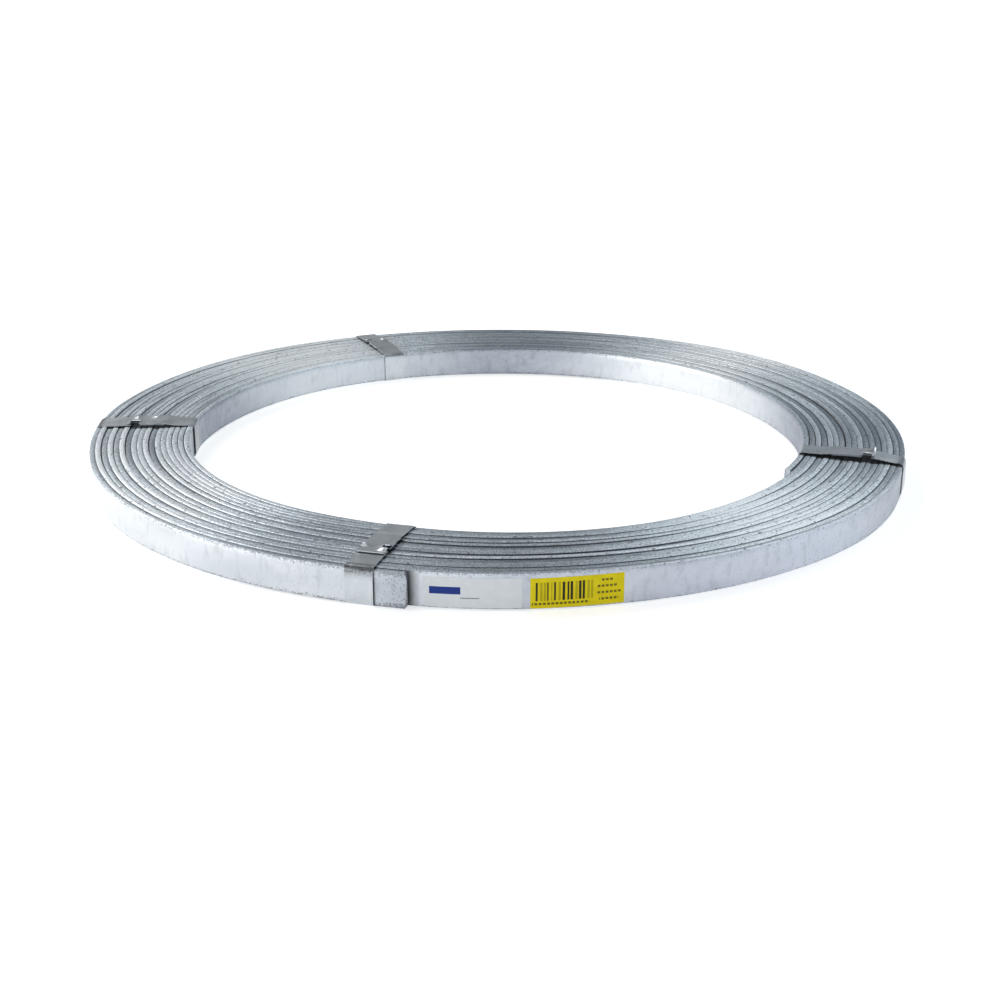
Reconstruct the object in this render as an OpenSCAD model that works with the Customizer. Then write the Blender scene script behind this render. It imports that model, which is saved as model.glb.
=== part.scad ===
// Coil of galvanized steel strip, lying flat and held by four steel straps.
// Millimetres, +Z up, the coil's axis on Z and the undersides of the straps on z = 0.

/* [Strip] */
// Width of the strip, which is the height of the coil
strip_w = 25; // [15:1:60]
// Thickness of the strip
strip_t = 4; // [2:0.5:8]
// Break of the strip's rolled edges
edge = 0.8; // [0.2:0.1:0.9]

/* [Coil] */
// Diameter of the bore
bore_d = 500; // [300:10:900]
// Turns counted across the end
turns = 17; // [6:1:30]
// Air between two turns
turn_gap = 0.75; // [0.3:0.05:2]
// Depth of the grooves that show the turns on both ends
groove_depth = 3; // [1:0.5:6]
// Where the outer end of the strip stands, from +X
outer_end_az = -99.4; // [-101.5:0.1:-99]
// Where the inner end of the strip stands, from +X
inner_end_az = -30.4; // [-40:0.1:-22]
// Sweep of the outer lap before it sinks into the turn below
lap_sweep = 172; // [160:1:176]
// Sweep of the innermost turn, the rest of the bore steps out by one turn
inner_sweep = 285; // [280:1:295]

/* [Straps] */
// Width of the strapping
strap_w = 19; // [12:1:19]
// Thickness of the strapping
strap_t = 0.5; // [0.4:0.1:1]
// Air between a strap and the coil's curved faces
strap_air = 0.1; // [0.05:0.05:0.3]
// Length over which the two ends of a strap lie on each other
joint_lap = 36; // [24:1:40]
// Length of a notch in the joint, along the strap
notch_l = 4.5; // [2:0.5:6]
// Depth of a notch in the joint, across the strap
notch_d = 2.4; // [1:0.2:3]
// Distance between the two pairs of notches
notch_step = 11; // [8:1:14]
// Place of the front strap, from +X
front_az = -105; // [-110:0.5:-104]
// Place of the left strap, from +X
left_az = -178.5; // [-190:0.5:-165]
// Place of the back strap, from +X
back_az = 114; // [90:0.5:140]
// Place of the right strap, from +X
right_az = -18.3; // [-20:0.1:10]

/* [Labels] */
// Length of a label round the coil
label_l = 61; // [40:1:80]
// Height of a label
label_h = 20; // [10:1:22]
// Thickness of a label
label_t = 0.2; // [0.1:0.05:0.4]
// Distance from the strip's outer end to the white label
label_from_end = 8.3; // [4:0.1:20]
// Distance between the two labels
label_space = 5.2; // [2:0.1:20]

/* [Hidden] */
$fn = 180;
pitch = strip_t + turn_gap;
bore_r = bore_d / 2;
coil_r = bore_r + turns * strip_t + (turns - 1) * turn_gap;
coil_z = strap_t;
coil_top = coil_z + strip_w;
// The outer lap turns about its own axis, so that it stands a whole turn out at its end and sinks away
lap_sunk = 0.4;
lap_off = (pitch + lap_sunk) / 2;
lap_r = coil_r + (pitch - lap_sunk) / 2;
bend_r = strap_air;
label_air = 0.2;
label_sweep = degrees(label_l, coil_r);
white_az = outer_end_az + degrees(label_from_end + label_l / 2, coil_r);
yellow_az = white_az + degrees(label_l + label_space, coil_r);
zinc = [0.78, 0.80, 0.83];
strapping = [0.52, 0.55, 0.58];
white_paper = [0.93, 0.93, 0.94];
yellow_paper = [0.93, 0.83, 0.10];

// Angle of an arc of a given length and radius
function degrees(arc, r) = arc / r * 180 / PI;

// Outer radius of the coil at an azimuth, lap included
function from_end(az) = (((outer_end_az - az) % 360) + 360) % 360;
function lap_at(a) = lap_off * cos(a) + sqrt(lap_r * lap_r - pow(lap_off * sin(a), 2));
function outer_r(az) = from_end(az) < lap_sweep ? max(coil_r, lap_at(from_end(az))) : coil_r;

// A length to a hundredth of a millimetre, so that the runs of a strap meet
function hundredth(x) = round(x * 100) / 100;

// Section of one turn with broken edges, its inner face at radius a
function turn_low(a) = [[a, edge], [a + edge, 0], [a + strip_t - edge, 0], [a + strip_t, edge]];
function lift(points) = [for (i = [len(points) - 1 : -1 : 0]) [points[i][0], strip_w - points[i][1]]];

// Underside of the comb of turns, from the first turn to the last
function comb_low(first, last) = [
    for (k = [first : last]) each concat(
        turn_low(bore_r + k * pitch),
        k < last ? [[bore_r + k * pitch + strip_t, groove_depth],
                    [bore_r + (k + 1) * pitch, groove_depth]] : [])
];

// Section of the innermost turn and of the web that ties it to the next one
module inner_section() {
    polygon(concat(turn_low(bore_r), lift(turn_low(bore_r))));
    translate([bore_r + strip_t / 2, groove_depth])
        square([pitch, strip_w - 2 * groove_depth]);
}

// Section of the outer lap and of the web that ties it to the turn below, with square edges
module lap_section() {
    translate([lap_r - strip_t, 0])
        square([strip_t, strip_w]);
    translate([lap_r - pitch - strip_t / 2, groove_depth])
        square([pitch, strip_w - 2 * groove_depth]);
}

// The turned solid, with the turns after the innermost
module turned_turns() {
    rotate_extrude()
        polygon(concat(comb_low(1, turns - 1), lift(comb_low(1, turns - 1))));
}

// Innermost turn, which starts at the strip's inner end
module inner_turn() {
    rotate([0, 0, inner_end_az])
        rotate_extrude(angle = inner_sweep)
            inner_section();
}

// Outer lap, which stops at the strip's outer end
module outer_lap() {
    difference() {
        rotate([0, 0, outer_end_az])
            translate([lap_off, 0, 0])
                rotate([0, 0, -lap_sweep])
                    rotate_extrude(angle = lap_sweep)
                        lap_section();
        translate([0, 0, -1])
            cylinder(r = coil_r - strip_t / 2, h = strip_w + 2);
    }
}

module strip_coil() {
    color(zinc)
        translate([0, 0, coil_z]) {
            turned_turns();
            inner_turn();
            outer_lap();
        }
}

// Quarter bend of strapping round the line y, from +X towards +Z
module strap_bend() {
    translate([0, strap_w / 2, 0])
        rotate([90, 0, 0])
            rotate_extrude(angle = 90)
                translate([bend_r, 0])
                    square([strap_t, strap_w]);
}

// One notch pair of the joint, through both layers of the lap
module notch_pair(x, z) {
    for (side = [-1, 1])
        translate([x - notch_l / 2, side * strap_w / 2 - notch_d, z - 1])
            cube([notch_l, 2 * notch_d, 2 * strap_t + 2]);
}

// Loop of strapping round the section, its legs at radii r_in and r_out, lapped on the top
module strap(az) {
    r_in = hundredth(sqrt(bore_r * bore_r - strap_w * strap_w / 4) - strap_air);
    r_out = hundredth(outer_r(az) + strap_air);
    flat_in = r_in + bend_r;
    flat_out = r_out - bend_r;
    mid = (r_in + r_out) / 2;
    leg = strip_w - 2 * bend_r;
    rotate([0, 0, az])
        difference() {
            union() {
                translate([flat_in, -strap_w / 2, 0])
                    cube([flat_out - flat_in, strap_w, strap_t]);
                translate([flat_in, -strap_w / 2, coil_top])
                    cube([flat_out - flat_in, strap_w, strap_t]);
                translate([r_out, -strap_w / 2, coil_z + bend_r])
                    cube([strap_t, strap_w, leg]);
                translate([r_in - strap_t, -strap_w / 2, coil_z + bend_r])
                    cube([strap_t, strap_w, leg]);
                translate([flat_out, 0, coil_top - bend_r])
                    strap_bend();
                translate([flat_in, 0, coil_top - bend_r])
                    rotate([0, -90, 0])
                        strap_bend();
                translate([flat_in, 0, coil_z + bend_r])
                    rotate([0, 180, 0])
                        strap_bend();
                translate([flat_out, 0, coil_z + bend_r])
                    rotate([0, 90, 0])
                        strap_bend();
                translate([mid - joint_lap / 2, -strap_w / 2, coil_top + strap_t])
                    cube([joint_lap, strap_w, strap_t]);
            }
            notch_pair(mid - notch_step / 2, coil_top);
            notch_pair(mid + notch_step / 2, coil_top);
        }
}

module strap_front() {
    color(strapping)
        strap(front_az);
}

module strap_left() {
    color(strapping)
        strap(left_az);
}

module strap_back() {
    color(strapping)
        strap(back_az);
}

module strap_right() {
    color(strapping)
        strap(right_az);
}

// Sticker curved to the outer face, half way up the strip
module label(az) {
    rotate([0, 0, az - label_sweep / 2])
        rotate_extrude(angle = label_sweep)
            translate([coil_r + label_air, coil_z + (strip_w - label_h) / 2])
                square([label_t, label_h]);
}

module white_label() {
    color(white_paper)
        label(white_az);
}

module yellow_label() {
    color(yellow_paper)
        label(yellow_az);
}

strip_coil();
strap_front();
strap_left();
strap_back();
strap_right();
white_label();
yellow_label();
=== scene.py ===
# %% [markdown]
# # A coil of galvanized steel strip
# Some thirty metres of flat steel, 25 mm wide and 4 mm thick, are wound on edge into a ring that lies on
# the floor. Four thin steel straps hold the turns together, and two paper stickers sit on the outer face.
# The solids of the part come first, because every piece that is made here has to sit where they sit.

# %% Load the solids
import math

import bpy
import numpy as np
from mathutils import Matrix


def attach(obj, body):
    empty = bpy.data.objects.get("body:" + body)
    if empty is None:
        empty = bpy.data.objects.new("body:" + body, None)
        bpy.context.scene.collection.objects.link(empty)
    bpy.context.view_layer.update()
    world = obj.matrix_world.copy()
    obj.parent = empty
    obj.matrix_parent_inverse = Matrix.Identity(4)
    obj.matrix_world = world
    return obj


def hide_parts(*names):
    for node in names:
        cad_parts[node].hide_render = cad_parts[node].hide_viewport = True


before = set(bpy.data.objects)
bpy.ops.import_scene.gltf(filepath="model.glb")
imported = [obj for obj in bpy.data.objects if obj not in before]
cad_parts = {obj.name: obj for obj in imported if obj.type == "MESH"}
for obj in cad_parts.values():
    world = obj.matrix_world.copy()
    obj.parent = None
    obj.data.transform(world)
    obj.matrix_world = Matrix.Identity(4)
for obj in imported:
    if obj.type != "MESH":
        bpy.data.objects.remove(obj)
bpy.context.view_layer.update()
MM = 0.001
print("solids:", sorted(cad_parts))

# %% [markdown]
# ## From a grid of points to a mesh
# Strip, strap and sticker are all the same kind of thing: a section carried along a path. A curve with a
# bevel could make them too, but here each step has a height and a dirt of its own. So their points make a
# grid with one row per step of the path, and one helper turns any such grid into faces. A UV map in
# millimetres, the length along the piece and the way across it, goes with the mesh for the finishes to read.

# %% Faces of a grid
def grid_faces(rows, columns, closed):
    """Quads between neighbouring rows and columns; a closed grid joins its last column to its first.
    Returns the quads and, for each corner, its row and its column counted without the join."""
    row, column = np.meshgrid(np.arange(rows - 1), np.arange(columns - 1 + closed), indexing="ij")
    corner_row = np.stack([row, row + 1, row + 1, row], -1).reshape(-1, 4)
    corner_column = np.stack([column, column, column + 1, column + 1], -1).reshape(-1, 4)
    return corner_row * columns + corner_column % columns, corner_row, corner_column


def run_length(points):
    """Length along a line of points: the sum of the steps so far, nothing at the first point."""
    return np.concatenate([[0], np.cumsum(np.linalg.norm(np.diff(points, axis=0), axis=1))])


open_faces, closed_faces = [len(grid_faces(3, 4, closed)[0]) for closed in (False, True)]
print("faces on 3 by 4 points: open", open_faces, "closed", closed_faces)

# %% A mesh from points and faces
SHARP_FROM = 50


def lay_mesh(name, points, faces, corner_uv, finish):
    """A mesh object at the origin: points in millimetres, faces as lists of point numbers, a UV per corner.
    Its free edges are marked sharp, so that a sheet that is thickened later keeps a crisp edge."""
    mesh = bpy.data.meshes.new(name)
    mesh.from_pydata((points.reshape(-1, 3) * MM).tolist(), [], faces)
    mesh.uv_layers.new(name="run").data.foreach_set("uv", np.asarray(corner_uv, np.float32).ravel())
    mesh.polygons.foreach_set("use_smooth", np.ones(len(mesh.polygons), bool))
    mesh.set_sharp_from_angle(angle=math.radians(SHARP_FROM))
    loop_edges = np.zeros(len(mesh.loops), np.int32)
    mesh.loops.foreach_get("edge_index", loop_edges)
    sharp = np.zeros(len(mesh.edges), bool)
    mesh.edges.foreach_get("use_edge_sharp", sharp)
    free = np.bincount(loop_edges, minlength=len(sharp)) == 1
    mesh.edges.foreach_set("use_edge_sharp", sharp | free)
    mesh.materials.append(finish)
    piece = bpy.data.objects.new(name, mesh)
    bpy.context.scene.collection.objects.link(piece)
    print(name, "points", len(mesh.vertices), "faces", len(mesh.polygons))
    return piece


# %% [markdown]
# ## Node helpers
# A finish is a small tree of nodes. Written out in full the trees would hide what they do, so these helpers
# each add one node or two and give back the output: a sum or product, a soft step, a mix, a noise.

# %% Nodes for numbers
def new_finish(name):
    """A material with its node tree and its Principled shader."""
    finish = bpy.data.materials.new(name)
    finish.use_nodes = True
    return finish, finish.node_tree, finish.node_tree.nodes["Principled BSDF"]


def add(tree, kind, inputs, **settings):
    """One node: settings are its properties, inputs its sockets by number, each a value or an output."""
    node = tree.nodes.new(kind)
    for key, value in settings.items():
        setattr(node, key, value)
    for key, value in inputs.items():
        if isinstance(value, bpy.types.NodeSocket):
            tree.links.new(value, node.inputs[key])
        else:
            node.inputs[key].default_value = value
    return node


def calc(tree, operation, a, b=0.0, c=0.0):
    """Result of a Math node."""
    return add(tree, "ShaderNodeMath", {0: a, 1: b, 2: c}, operation=operation).outputs[0]


def below_zero(tree, value):
    """How far a value lies below zero, and zero where it doesn't."""
    return calc(tree, "MAXIMUM", calc(tree, "MULTIPLY", value, -1.0), 0.0)


def soft_step(tree, value, start, end, low=0.0, high=1.0):
    """Goes smoothly from low to high as value goes from start to end."""
    inputs = {0: value, 1: start, 2: end, 3: low, 4: high}
    return add(tree, "ShaderNodeMapRange", inputs, interpolation_type="SMOOTHSTEP").outputs[0]


# %% Nodes for colours and patterns
COOL = (0.92, 1.0, 1.07)


def grey(value, tint=(1.0, 1.0, 1.0)):
    """A grey of that value with a slight tint, as a colour socket takes it."""
    return (value * tint[0], value * tint[1], value * tint[2], 1.0)


def blend(tree, share, a, b, way="MIX"):
    """Colour a blended towards colour b by a share."""
    return add(tree, "ShaderNodeMix", {0: share, 6: a, 7: b}, data_type="RGBA", blend_type=way).outputs[2]


def run_map(tree):
    """The piece's own UV map, and its two parts: along and across."""
    vector = add(tree, "ShaderNodeUVMap", {}, uv_map="run").outputs[0]
    parts = add(tree, "ShaderNodeSeparateXYZ", {0: vector}).outputs
    return vector, parts[0], parts[1]


def stretched(tree, vector, along, across):
    """The UV map scaled to one unit per so many millimetres along and across the piece."""
    scale = (1 / along, 1 / across, 1.0)
    return add(tree, "ShaderNodeMapping", {0: vector, 3: scale}, vector_type="POINT").outputs[0]


def noise(tree, vector, detail=2.0, rough=0.5):
    """Soft noise with one lump per unit of the vector."""
    return add(tree, "ShaderNodeTexNoise", {0: vector, 2: 1.0, 3: detail, 4: rough}).outputs[0]


def carried(tree, name):
    """A value that the mesh carries at each of its points."""
    return add(tree, "ShaderNodeAttribute", {}, attribute_name=name).outputs["Fac"]


def raise_relief(tree, shader, strength, depth, height):
    """Tilts the shader's normals as if the surface rose by a depth in millimetres where the height is one."""
    bump = add(tree, "ShaderNodeBump", {0: strength, 1: depth * MM, 3: height})
    tree.links.new(bump.outputs[0], shader.inputs["Normal"])


print("cool dark grey", [round(part, 3) for part in grey(0.17, COOL)])

# %% [markdown]
# ## Winding the strip
# Seen from above the strip winds outwards counter-clockwise, from its inner end at the right of the bore to
# its outer end at the front. Any place on it is given by one number, the turns wound since the inner end.
# A Screw modifier would make a spiral too, but with every turn alike. The real turns are not evenly spaced:
# some lie tight against each other and some leave a dark groove. So the air between a turn and the next
# one wanders along the strip, and each turn is laid on the one before it, which keeps the turns from
# cutting into each other whatever the air does. With its zinc the strip is 4.2 mm thick.

# %% Places on the strip
STRIP_W, STRIP_T = 25.0, 4.2
INNER_END, OUTER_END = -30.4, -99.15
STEPS = 270
WHOLE = 17
GAPS = WHOLE - 1
TURNS = GAPS + ((OUTER_END - INNER_END) % 360) / 360
wound_all = np.arange(WHOLE * STEPS + 1) / STEPS


def wander(wound, seed, slowest, fastest, waves=24):
    """Sum of cosines along the strip, each with its own rate per turn and start, scaled to unit spread."""
    draw = np.random.default_rng(seed)
    rate = draw.uniform(slowest, fastest, waves)[:, None]
    start = draw.uniform(0, 2 * np.pi, waves)[:, None]
    return np.cos(2 * np.pi * rate * wound + start).sum(0) * math.sqrt(2 / waves)


def wound_at(azimuth, layer):
    """Turns wound where the layer counted from the outside crosses an azimuth."""
    return TURNS - ((OUTER_END - azimuth) % 360) / 360 - (layer - 1)


def bumps(wound, places):
    """Sum of soft bumps along the strip, each given by azimuth, layer, half width in degrees and height."""
    azimuth, layer, half, height = np.array(places, float).T[..., None]
    return (height * np.exp(-((wound - wound_at(azimuth, layer)) * 360 / half) ** 2)).sum(0)


print("turns wound", round(TURNS, 3), "steps", round(TURNS * STEPS))

# %% Air between the turns
WIDE_GROOVES = [
    (-85, 3, 24, 0.6), (-86, 6, 26, 1.1), (-86, 8, 24, 0.8), (-86, 11, 24, 1.2), (-86, 12, 22, 0.7),
    (-88, 14, 20, 0.6), (-5, 3, 14, 0.5), (-4, 5, 14, 0.5), (0, 7, 16, 0.7), (2, 11, 24, 1.4),
    (0, 14, 18, 0.7), (-2, 16, 14, 0.7), (-6, 17, 12, 0.5), (40, 5, 24, 0.6), (38, 8, 20, 0.5),
    (36, 12, 22, 0.5), (-160, 3, 17, 0.8), (-168, 5, 24, 0.5), (-168, 7, 24, 0.6), (-168, 9, 24, 0.25),
    (-168, 11, 24, 0.7), (-168, 12, 24, 0.3), (-172, 15, 18, 0.4), (-172, 16, 18, 0.4), (-172, 17, 18, 0.4),
    (-40, 3, 16, 0.3), (-40, 5, 16, 0.2), (-40, 7, 16, 0.25), (-40, 9, 16, 0.2), (-40, 11, 16, 0.3),
    (-40, 13, 16, 0.2), (-40, 15, 16, 0.25),
]
AIR_LEAST, AIR_SPREAD, AIR_POWER = 0.2, 0.45, 1.4
loose = np.clip(0.15 + 0.35 * wander(wound_all, seed=11, slowest=0.25, fastest=1.5), 0, None)
air = AIR_LEAST + AIR_SPREAD * loose ** AIR_POWER
air = (air + bumps(wound_all, WIDE_GROOVES))[:-1].reshape(WHOLE, STEPS)
print("air between turns, mm: mean", round(air.mean(), 2), "most", round(air.max(), 2))

# %% [markdown]
# The ring isn't quite round: the bore leans to one side and has dents, and the outside has flatter stretches.
# Both walls are set first. The air between them is then shared out over the gaps, with a share that
# changes slowly round the ring. The first turn winds outwards by a step that depends on that share, so the
# two are found together in a few rounds.

# %% The two walls of the ring
BORE_R, OUTER_R, PITCH = 247.6, 330.2, 4.75
LEAN, LEAN_AZ = 5.5, -60
BORE_DENTS = [(-165, 24, 2.5), (-110, 15, -2.2), (-66, 17, 1.8), (32, 25, -1.2)]
OUTER_FLATS = [
    (178, 26, -2.4), (-164, 16, -1.6), (-124, 16, -1.0), (-60, 20, 1.9), (-34, 17, 3.2), (14, 14, -0.5),
    (88, 30, -1.5),
]
part_turn = np.arange(STEPS) / STEPS
az_turn = INNER_END + 360 * part_turn


def round_bumps(azimuth, places):
    """Sum of soft bumps round the ring, each given by azimuth, half width in degrees and height."""
    centre, half, height = np.array(places, float).T[..., None]
    away = (azimuth - centre + 180) % 360 - 180
    return (height * np.exp(-((away / half) ** 2))).sum(0)


lean = LEAN * np.cos(np.radians(az_turn - LEAN_AZ))
bore_wall = BORE_R + lean + round_bumps(az_turn, BORE_DENTS)
past_end = GAPS + part_turn - TURNS
outer_wall = OUTER_R + PITCH * (past_end + 0.5) - STRIP_T + round_bumps(az_turn, OUTER_FLATS)
print("ring at least", round((outer_wall - bore_wall).min(), 1), "mm from wall to wall")

# %% Radius of the strip's inner side at every step
SLOW_WAVES = 7
ROUNDS = 4
INNER_DRAWN_IN, INNER_DRAWN_TURNS = 0.9, 0.115
OUTER_SPRUNG, OUTER_SPRUNG_TURNS = 0.25, 0.02


def smooth_round(values, waves):
    """The values round the ring with only the slowest waves kept."""
    spectrum = np.fft.rfft(values)
    spectrum[waves + 1:] = 0
    return np.fft.irfft(spectrum, len(values))


step_out = PITCH
for _ in range(ROUNDS):
    inner_wall = bore_wall + step_out * part_turn
    share = smooth_round((outer_wall - inner_wall - GAPS * STRIP_T) / air[:GAPS].sum(0), SLOW_WAVES)
    step_out = STRIP_T + air[0, 0] * share[0]
layer_r = inner_wall + np.vstack([np.zeros(STEPS), np.cumsum(STRIP_T + air[:GAPS] * share, 0)])
wound = wound_all[: round(TURNS * STEPS) + 1]
to_end = wound[-1] - wound
radius = layer_r.ravel()[: len(wound)]
radius = radius - INNER_DRAWN_IN * np.clip(1 - wound / INNER_DRAWN_TURNS, 0, None) ** 2
radius = radius + OUTER_SPRUNG * np.clip(1 - to_end / OUTER_SPRUNG_TURNS, 0, None) ** 2
print("air left to share out, mm: least", round((air[:GAPS] * share).sum(0).min(), 1))
print("inner side from", radius.min().round(1), "to outer side", (radius.max() + STRIP_T).round(1), "mm")

# %% [markdown]
# The turns don't stand level either. A turn that sits a millimetre low lies in the shade of its neighbours
# and reads as a dark band on the coil's end, so each place on the strip gets a height too. The heights are
# set turn by turn, outermost first, at a few places round the coil, and the strip runs smoothly between them.

# %% Heights of the turns
TURN_HEIGHTS = {
    -165: [0.5, 1.5, 0.1, 1.2, 0.4, 1.6, 0.0, 0.7, 1.3, 1.6, 0.0, 0.9, 1.2, 1.5, 1.1, 0.9, 1.1],
    -140: [0.4, 1.6, 0.2, 1.2, 0.5, 1.5, 0.1, 0.6, 1.2, 1.7, 0.3, 1.2, 1.5, 1.7, 1.4, 1.0, 1.0],
    -118: [0.3, 1.0, 0.6, 1.0, 0.7, 1.1, 0.6, 0.9, 1.0, 1.1, 0.8, 1.0, 1.1, 1.2, 1.0, 0.9, 1.0],
    -85: [0.2, 0.5, 0.9, 0.8, 0.6, 1.6, 0.2, 0.9, 0.2, 0.0, 0.9, 1.7, 0.8, 1.3, 0.8, 0.3],
    -60: [-0.2, -0.1, 0.4, 0.2, 0.1, 0.6, -0.3, 0.4, 0.2, 0.0, 0.4, 0.8, 0.3, 0.7, 0.3, 0.0],
    -40: [0.0, -0.2, 0.3, 0.0, 0.4, 0.0, 0.4, 0.1, 0.5, 0.0, 0.4, 0.1, 0.5, 0.1, 0.4, 0.0],
    -18: [-0.4, 0.0, 0.2, 0.1, -0.1, -0.2, -0.3, -0.3, -0.1, -0.1, 0.0, -0.1, 0.1, 0.1, 0.3, 0.4, 0.8],
    10: [0.7, 1.0, 0.7, 0.9, 0.6, 1.0, 0.5, 0.8, 0.9, 1.0, 0.1, 0.8, 0.9, 0.4, 0.9, 0.5, 1.0],
    40: [1.6, 1.5, 0.9, 0.2, 0.1, 1.3, 0.2, 1.4, 1.3, 0.9, 0.0, 0.8, 1.6, 0.3, 1.6, 0.6, 1.2],
    65: [0.9, 0.9, 0.6, 0.5, 0.4, 0.8, 0.5, 0.9, 0.8, 0.6, 0.2, 0.3, 0.7, 0.4, 0.8, 0.5, 0.8],
    90: [0.1, 0.2, 0.2, 0.3, 0.3, 0.4, 0.3, 0.4, 0.4, 0.3, 0.1, -0.3, 0.2, 0.3, 0.3, 0.2, 0.2],
    114: [0.2, 0.3, 0.2, 0.3, 0.3, 0.4, 0.4, 0.5, 0.4, 0.3, 0.2, 0.2, 0.3, 0.3, 0.4, 0.3, 0.4],
    135: [0.9, 0.5, 0.3, 0.8, 0.5, 1.1, 0.6, 1.0, 1.0, 0.8, 0.3, 0.4, 0.8, 0.7, 0.9, 0.6, 1.0],
    160: [0.4, 0.9, 0.1, 0.6, 1.1, 0.4, 0.2, 0.9, 1.2, 0.3, 0.1, 0.8, 1.2, 0.5, 0.7, 0.6, 1.1],
    181: [0.9, 1.1, 0.0, 0.9, 0.4, 1.2, 0.0, 0.1, 0.3, 0.6, -0.1, 0.3, 0.5, 0.9, 0.9, 1.2, 1.5],
}
known = np.array(sorted(
    (wound_at(azimuth, layer), value)
    for azimuth, values in TURN_HEIGHTS.items() for layer, value in enumerate(values, 1)))
print("heights known at", len(known), "places")

# %% Height of the strip's lower edge
FLOOR_GAP = 0.5
LOWEST, HIGHEST = -0.4, 2.0
UNEVEN_RISE = 0.1
EASE = np.hanning(17)[1:-1]
OUTER_LEVEL_TURNS = 0.03
INNER_LIFT, INNER_LIFT_TURNS = 1.2, 0.1
stand = np.interp(wound, known[:, 0], known[:, 1])
stand = stand + UNEVEN_RISE * wander(wound, seed=23, slowest=0.5, fastest=2.5)
stand = np.convolve(np.pad(stand, len(EASE) // 2, mode="edge"), EASE / EASE.sum(), mode="valid")
stand = np.clip(stand, LOWEST, HIGHEST)
beside = np.mean([np.interp(wound + turns, wound, stand) for turns in (-1, 1)], 0)
low = beside - stand
rise = stand * np.clip(to_end / OUTER_LEVEL_TURNS, 0.0, 1.0)
lifted = LOWEST + (INNER_LIFT - LOWEST) * np.clip(1 - wound / INNER_LIFT_TURNS, 0, 1)
low_edge = FLOOR_GAP + np.maximum(rise, lifted)
print("lower edge from", low_edge.min().round(2), "to", low_edge.max().round(2), "mm")

# %% [markdown]
# ## The section of the strip
# Earthing strip has rolled edges, so its section is a tall rectangle with a crown above and below. Each crown
# is half an ellipse with enough points to turn smoothly, because the light that runs along those edges is
# most of what shows on the end of the coil. The way round the section starts and ends in the middle of the
# lower edge and is measured from the middle of the upper edge, so a finish can tell how far it is from it.

# %% Points round the section
CROWN = 0.45
FACE_POINTS = [5.0, 20.0]


def crown(level, start, end, points):
    """Points of a crown: an ellipse as wide as the strip, in directions from start to end."""
    turn = np.radians(np.linspace(start, end, points))
    return np.stack([STRIP_T / 2 * (1 + np.cos(turn)), level + CROWN * np.sin(turn)], -1)


section = np.vstack([
    crown(CROWN, -90, 0, 3),
    [[STRIP_T, z] for z in FACE_POINTS],
    crown(STRIP_W - CROWN, 0, 180, 11),
    [[0.0, z] for z in FACE_POINTS[::-1]],
    crown(CROWN, 180, 270, 3)[:-1],
])
around = run_length(np.vstack([section, section[:1]]))
around = around - around[-1] / 2
print("section points", len(section), "way round", round(float(np.ptp(around)), 1), "mm")

# %% [markdown]
# ## Zinc
# Hot-dip zinc is a dull pale metal. On the faces it has run down in faint upright streaks with small dark
# specks; on the rolled edges it is grainy, with spots of dross and patches of dirt, and it is painted darker
# in some places and paler in others, a painted shade and a painted light. One finish holds all of it, because
# it
# is one coat: the way round the section says where an edge is, the length along the strip carries the
# patterns, and the mesh carries how dirty and how shaded each place is.

# %% Zinc: where the edges are
RIM = 2.05
zinc, tree, shader = new_finish("dull_zinc")
vector, _, across = run_map(tree)
grime_and_shading, stain_and_shading, between, scars, dull, clean = [
    carried(tree, name) for name in ("grime_and_shading", "stain_and_shading", "between", "scars", "dull", "clean")]
from_top = calc(tree, "ABSOLUTE", across)
from_foot = calc(tree, "SUBTRACT", around[-1], from_top)
from_rim = calc(tree, "MINIMUM", from_top, from_foot)
rim = soft_step(tree, from_rim, RIM, RIM + 0.45, 1.0, 0.0)
rim = calc(tree, "MULTIPLY", rim, calc(tree, "SUBTRACT", 1.0, clean))
rim_fade = soft_step(tree, from_rim, RIM - 0.15, RIM + 0.65, 1.0, 0.0)
print("edge reaches", RIM, "of", round(float(around[-1]), 1), "mm from the middle of the top")

# %% Zinc: faces with runs and specks
FACE_GREYS = grey(0.62, (0.94, 1.0, 1.06)), grey(0.72, (0.96, 1.0, 1.04))
RUN_GREY = grey(0.44, (0.93, 1.0, 1.07))
cloud = noise(tree, stretched(tree, vector, 70.0, 22.0), 3.0)
streak = noise(tree, stretched(tree, vector, 6.0, 17.0), 4.0, 0.65)
speck = noise(tree, stretched(tree, vector, 1.7, 1.9), 4.0, 0.7)
face = blend(tree, soft_step(tree, cloud, 0.3, 0.7), *FACE_GREYS)
face = blend(tree, soft_step(tree, streak, 0.32, 0.5, 0.4, 0.0), face, RUN_GREY)
near_rim = soft_step(tree, from_rim, 2.2, 6.0, 0.18, 0.0)
near_rim = calc(tree, "MULTIPLY", near_rim, calc(tree, "MULTIPLY_ADD", clean, -0.7, 1.0))
in_groove = calc(tree, "MULTIPLY", clean, soft_step(tree, across, 0.8, 1.8, 0.0, 0.2))
near_rim = calc(tree, "ADD", near_rim, in_groove)
scarred = calc(tree, "ADD", near_rim, calc(tree, "MULTIPLY", scars, 0.15))
specks = soft_step(tree, calc(tree, "ADD", speck, scarred), 0.64, 0.76, 0.0, 0.65)
face = blend(tree, specks, face, grey(0.17, COOL))
# Painted shade: faces that lie against another turn are painted near black
face = blend(tree, between, face, grey(0.04, COOL))
print("nodes so far", len(tree.nodes))

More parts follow.
